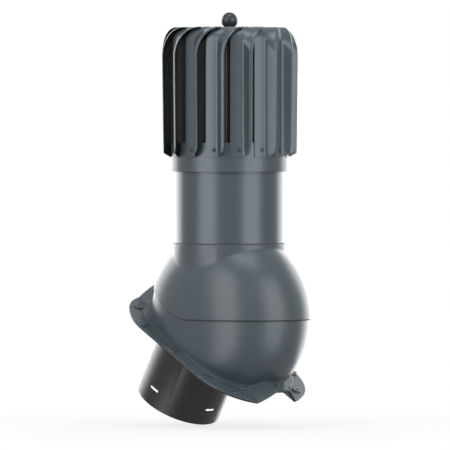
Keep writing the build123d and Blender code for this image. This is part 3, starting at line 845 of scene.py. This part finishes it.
def makeCollarRivets():
    outline = rivetOutline(
        rivet["headRadius"], rivet["headHeight"], rivet["seat"] - rivet["inside"], rivet["shank"]
    )
    place = Matrix.Translation((rivet["inside"] * mm, 0, rivet["level"] * mm))
    place = place @ Matrix.Rotation(pi / 2, 4, "Y")
    paint = finishes["coated_rivet"]
    one = lathe(outline, rivet["collarFacets"], place, "rivet_one")
    source = newPiece("rivet_source", one, paint)
    mesh = arrayRound("collar_rivet_heads", source, blade["count"], radians(blade["phase"]), paint)
    smoothByAngle(mesh, rivet["smoothLimit"])
    addPiece("collar_rivet_heads", mesh, "turbine", "coated_rivet", "collar_rivets")


def makeTopRivets():
    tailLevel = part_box("top_rivets")[0].z - tiltCentre.z
    length = blade["top"] * mm - tailLevel
    outline = rivetOutline(rivet["topHead"], rivet["topHeight"], length / mm, rivet["shank"])
    middle = blade["phase"] + blade["twist"]
    middle += (blade["tabStart"] + blade["flareEnd"]) * blade["widening"] / 2
    swing = degrees(asin(rivet["topSpacing"] / 2 / rivet["topCircle"]))
    work = bmesh.new()
    for side in (-1, 1):
        turn = radians(side * swing)
        place = Matrix.Translation(
            (rivet["topCircle"] * cos(turn) * mm, rivet["topCircle"] * sin(turn) * mm, tailLevel)
        )
        work.from_mesh(lathe(outline, rivet["topFacets"], place, "top_rivet_one"))
    paint = finishes["coated_rivet"]
    source = newPiece("top_rivet_source", meshFrom(work, "top_rivet_pair"), paint)
    mesh = arrayRound("top_rivet_heads", source, blade["count"], radians(middle), paint)
    smoothByAngle(mesh, rivet["smoothLimit"])
    addPiece("top_rivet_heads", mesh, "turbine", "coated_rivet", "top_rivets")


makeCollarRivets()
makeTopRivets()
print("rivets made")

for node in frame["nodes"]:
    if not node.startswith("blade_") and node not in ("collar_rivets", "top_rivets"):
        smoothCopy(node)
# painted shade: the shaft is dimmed almost to black where the turbine's inside lies in shadow
bpy.data.objects["turbine_shaft_smooth"].data.materials[0] = shaftPaintedShadeSteel
print("solids smoothed")


# Cover edge: the lower rim runs level at the front and climbs behind, as the cover is cut
cover = {
    "radius": 156.0,
    "halfWidth": 106.2,
    "power": 2.9,
    "edgeStart": 21.0,
    "edgeAngle": 30.5,
    "edgeRound": 70.0,
    "shadowStripOutside": 1.1,  # how far the dark strip lies inside the cover's face
    "shadowStripInside": 2.9,
    "shadowStripDrop": 1.7,
    "shadowStripRise": 0.2,
    "stations": 96,
    "halvings": 24,
    "smoothLimit": radians(40),
}


def loftRound(loops, name, limit):
    # closed band through equal loops of points, the last joined to the first
    work = bmesh.new()
    rings = [[work.verts.new(point) for point in loop] for loop in loops]
    for index, ring in enumerate(rings):
        after = rings[(index + 1) % len(rings)]
        for side in range(len(ring)):
            other = (side + 1) % len(ring)
            work.faces.new((ring[side], after[side], after[other], ring[other]))
    bmesh.ops.recalc_face_normals(work, faces=work.faces)
    mesh = meshFrom(work, name)
    smoothByAngle(mesh, limit)
    return mesh


def coverEdgeLevel(x):
    # height of the cut above the tilt centre at one place along X
    slope = radians(cover["edgeAngle"])
    run = cover["edgeRound"] * sin(slope / 2) / cos(slope / 2)
    start = -cover["edgeStart"] + run
    if x >= start:
        return 0.0
    if x <= -cover["edgeStart"] - run * cos(slope):
        return (-x - cover["edgeStart"]) * sin(slope) / cos(slope)
    return cover["edgeRound"] - sqrt(cover["edgeRound"] ** 2 - (start - x) ** 2)


def coverEdgePoint(turn, inset, drop):
    # turn runs once round the rim: 0 at the front, 90 at the cheek, 180 behind
    halfWidth = cover["halfWidth"] - inset
    y = halfWidth * sin(turn)
    reach = (cover["radius"] - inset) * abs(cos(turn)) ** (2 / cover["power"])
    if cos(turn) >= 0:
        return tiltCentre + Vector((reach, y, -drop)) * mm
    low, high = 0.0, pi / 2
    for step in range(cover["halvings"]):
        middle = (low + high) / 2
        above = reach * sin(middle) - coverEdgeLevel(-reach * cos(middle)) > 0
        low, high = (low, middle) if above else (middle, high)
    return tiltCentre + Vector((-reach * cos(low), y, reach * sin(low) - drop)) * mm


# Painted shadow: a thin dark strip just inside the cover's lower edge, standing in for the shadow in the gap
# between cover and base
def makeCoverShadowStrip():
    section = (
        (cover["shadowStripOutside"], -cover["shadowStripRise"]),
        (cover["shadowStripOutside"], cover["shadowStripDrop"]),
        (cover["shadowStripInside"], cover["shadowStripDrop"]),
        (cover["shadowStripInside"], -cover["shadowStripRise"]),
    )
    turns = [2 * pi * step / cover["stations"] for step in range(cover["stations"])]
    loops = [[coverEdgePoint(turn, inset, drop) for inset, drop in section] for turn in turns]
    lip = loftRound(loops, "cover_edge_lip", cover["smoothLimit"])
    addPiece("cover_edge_lip", lip, "cowl", "gasket_rubber")


# Neck: a rolled rim on its top edge, and a thin dark ring against the jacket as painted shadow in the gap between
# neck and jacket
neck = {
    "rimInside": 94.7,
    "rimOutside": 97.0,
    "rimTop": 129.0,
    "rimRound": 0.9,
    "rimLift": 0.12,
    "rimSteps": 4,
    "shadowRingInside": 94.3,
    "shadowRingOutside": 95.2,
    "shadowRingTop": 130.5,
    "shadowRingBottom": 127.5,
    "shadowRingFall": 0.5,
    "shadowRingCrown": 0.4,
    "steps": 144,
    "smoothLimit": radians(50),
}


def turnedRing(outline, name):
    # closed ring about the stack from a loop of (radius, height)
    loops = []
    for step in range(neck["steps"]):
        turn = 2 * pi * step / neck["steps"]
        outward = Vector((cos(turn), sin(turn), 0))
        loops.append([tiltCentre + (outward * r + Vector((0, 0, z))) * mm for r, z in outline])
    return loftRound(loops, name, neck["smoothLimit"])


def makeNeckRim():
    top, curve = neck["rimTop"], neck["rimRound"]
    outline = [(neck["rimInside"], top - curve)]
    for corner, start in ((neck["rimInside"] + curve, 180), (neck["rimOutside"] - curve, 90)):
        for step in range(neck["rimSteps"] + 1):
            turn = radians(start - 90 * step / neck["rimSteps"])
            level = top - curve + curve * sin(turn) + neck["rimLift"]
            outline.append((corner + curve * cos(turn), level))
    outline.append((neck["rimOutside"], top - curve))
    addPiece("neck_rim", turnedRing(outline, "neck_rim"), "cowl", "moulded_grey")
    # painted shadow: a dark ring standing in for the shadow in the gap between neck and jacket
    gapShadowRing = [
        (neck["shadowRingInside"], neck["shadowRingBottom"]),
        (neck["shadowRingOutside"], neck["shadowRingBottom"]),
        (neck["shadowRingOutside"], neck["shadowRingTop"] - neck["shadowRingFall"]),
        (neck["shadowRingInside"] + neck["shadowRingCrown"], neck["shadowRingTop"]),
        (neck["shadowRingInside"], neck["shadowRingTop"]),
    ]
    addPiece("neck_sealant", turnedRing(gapShadowRing, "neck_sealant"), "cowl", "gasket_rubber")


# Line-up mark on the front of the neck: a painted groove
mark = {"width": 1.4, "bottom": 119.2, "top": 125.8, "inside": 96.0, "outside": 96.85}


def makeNeckMark():
    work = bmesh.new()
    bmesh.ops.create_cube(work, size=1.0)
    size = (mark["outside"] - mark["inside"], mark["width"], mark["top"] - mark["bottom"])
    middle = ((mark["outside"] + mark["inside"]) / 2, 0, (mark["top"] + mark["bottom"]) / 2)
    bmesh.ops.scale(work, vec=Vector(size) * mm, verts=work.verts)
    bmesh.ops.translate(work, vec=tiltCentre + Vector(middle) * mm, verts=work.verts)
    addPiece("neck_mark", meshFrom(work, "neck_mark"), "cowl", "black_plastic")


makeCoverShadowStrip()
makeNeckRim()
makeNeckMark()
print("cover lip, neck rim and mark made")


# Studio: pale floor, white surroundings, two soft boxes in front and two strips behind
studio = {
    "lookFrom": -44.4,  # degrees round +Z from +X
    "elevation": 1.0,
    "distance": 12.0,
    "mmPerPixel": 1.73,
    "aimPixel": (229.5, 318.2),  # where the tilt centre shows
    "picture": 450,
    "sensor": 36.0,
    "clipEnd": 100.0,
    "floorDrop": 0.002,
    "floorRadius": 2.5,
    "floorFacets": 64,
    "floorCloud": (2.0, 2.0),
    "floorPaper": ((0.88, 0.88, 0.88, 1), (0.92, 0.92, 0.92, 1)),
    "floorWhite": (0.7, 0.3),  # share of plain white under the object, and what is added far off
    "shadowReach": 0.7,  # metres from the object within which the floor shows a shadow
    "lampAim": 0.15,  # metres above the tilt centre
    "skyGlossy": 0.6,
    "skyDiffuse": 0.21,
    "skyColour": (0.98, 0.99, 1, 1),
    "bounce": (0.16, 0.16, 0.17, 1.0),  # how the floor looks to the object
}

# Each lamp: degrees from the viewer, height and distance in metres, size in metres, watts
lamps = {
    "soft_box_-1": (-47.0, 0.1, 2.4, (1.7, 4.2), 52.0),
    "back_-1": (-146.0, 0.2, 3.0, (2.6, 3.0), 70.0),
    "soft_box_1": (47.0, 0.1, 2.4, (1.7, 4.2), 52.0),
    "back_1": (146.0, 0.2, 3.0, (2.6, 3.0), 70.0),
    "top_light": (0, 2.6, 0.5, (1.6, 1.6), 20.0),
}

turn = radians(studio["lookFrom"])
lift = radians(studio["elevation"])
towards = Vector((cos(turn) * cos(lift), sin(turn) * cos(lift), sin(lift)))
right = Vector((-sin(turn), cos(turn), 0))
above = towards.cross(right)


def makeCamera():
    data = bpy.data.cameras.new("camera")
    width = studio["picture"] * studio["mmPerPixel"] * mm
    data.sensor_width = studio["sensor"]
    data.lens = studio["sensor"] * studio["distance"] / width
    data.clip_end = studio["clipEnd"]
    camera = bpy.data.objects.new("camera", data)
    bpy.context.scene.collection.objects.link(camera)
    half = studio["picture"] / 2
    pixel = studio["mmPerPixel"] * mm
    aim = tiltCentre + right * (half - studio["aimPixel"][0]) * pixel
    aim += above * (studio["aimPixel"][1] - half) * pixel
    camera.location = aim + towards * studio["distance"]
    camera.rotation_mode = "QUATERNION"
    camera.rotation_quaternion = (-towards).to_track_quat("-Z", "Y")
    bpy.context.scene.camera = camera


def makeArea(name, angle, height, distance, size, power):
    data = bpy.data.lights.new(name, "AREA")
    data.shape = "RECTANGLE"
    data.size, data.size_y = size
    data.energy = power
    lamp = bpy.data.objects.new(name, data)
    bpy.context.scene.collection.objects.link(lamp)
    turned = radians(studio["lookFrom"] + angle)
    middle = tiltCentre + Vector((0, 0, studio["lampAim"]))
    lamp.visible_camera = False
    lamp.location = middle + Vector((cos(turned), sin(turned), 0)) * distance
    lamp.location.z = middle.z + height
    lamp.rotation_mode = "QUATERNION"
    lamp.rotation_quaternion = (middle - lamp.location).to_track_quat("-Z", "Y")


def makeWorld():
    world = bpy.data.worlds.new("surroundings")
    bpy.context.scene.world = world
    world.use_nodes = True
    tree = world.node_tree
    tree.nodes.clear()
    rays = tree.nodes.new("ShaderNodeLightPath")
    output = tree.nodes.new("ShaderNodeOutputWorld")
    shown = tree.nodes.new("ShaderNodeBackground")
    shown.inputs["Strength"].default_value = 1.0
    shown.inputs["Color"].default_value = (1, 1, 1, 1)
    mirrored = tree.nodes.new("ShaderNodeBackground")
    mirrored.inputs["Strength"].default_value = studio["skyGlossy"]
    lit = tree.nodes.new("ShaderNodeBackground")
    lit.inputs["Strength"].default_value = studio["skyDiffuse"]
    for background in (mirrored, lit):
        background.inputs["Color"].default_value = studio["skyColour"]
    glossy = tree.nodes.new("ShaderNodeMixShader")
    seen = tree.nodes.new("ShaderNodeMixShader")
    either = tree.nodes.new("ShaderNodeMath")
    either.operation = "MAXIMUM"
    tree.links.new(rays.outputs["Is Glossy Ray"], glossy.inputs[0])
    tree.links.new(lit.outputs[0], glossy.inputs[1])
    tree.links.new(mirrored.outputs[0], glossy.inputs[2])
    tree.links.new(rays.outputs["Is Camera Ray"], either.inputs[0])
    tree.links.new(rays.outputs["Is Transmission Ray"], either.inputs[1])
    tree.links.new(either.outputs[0], seen.inputs[0])
    tree.links.new(glossy.outputs[0], seen.inputs[1])
    tree.links.new(shown.outputs[0], seen.inputs[2])
    tree.links.new(seen.outputs[0], output.inputs["Surface"])


def makeFloor():
    low = cadBounds[0].z - studio["floorDrop"]
    work = bmesh.new()
    facets, radius = studio["floorFacets"], studio["floorRadius"]
    bmesh.ops.create_circle(work, cap_ends=True, segments=facets, radius=radius)
    bmesh.ops.translate(work, vec=(0, 0, low), verts=work.verts)
    mesh = meshFrom(work, "floor")
    book = MaterialBook("floor_finish")
    rays = book.tree.nodes.new("ShaderNodeLightPath")
    away = book.node("ShaderNodeVectorMath", {"operation": "LENGTH"}, [book.place3d()], "Value")
    cloud = book.noise(*studio["floorCloud"])
    seen = Value(book, rays.outputs["Is Camera Ray"])
    paper = book.blend(cloud, *studio["floorPaper"])
    pale = book.node("ShaderNodeBsdfDiffuse", {}, [book.blend(seen, studio["bounce"], paper)])
    white = book.node("ShaderNodeEmission", {}, [(1, 1, 1, 1), 1.0])
    fade = (away * (1 / studio["shadowReach"])).clamp()
    near, far = studio["floorWhite"]
    share = seen * (fade * far + near)
    mixed = book.node("ShaderNodeMixShader", {}, [share, pale, white])
    book.node("ShaderNodeOutputMaterial", {}, {"Surface": mixed})
    floor = newPiece("floor", mesh, book.material)
    floor.visible_glossy = False


makeCamera()
makeWorld()
makeFloor()
for name, settings in lamps.items():
    makeArea(name, *settings)
bpy.context.scene.view_settings.view_transform = "Standard"
print("studio made")
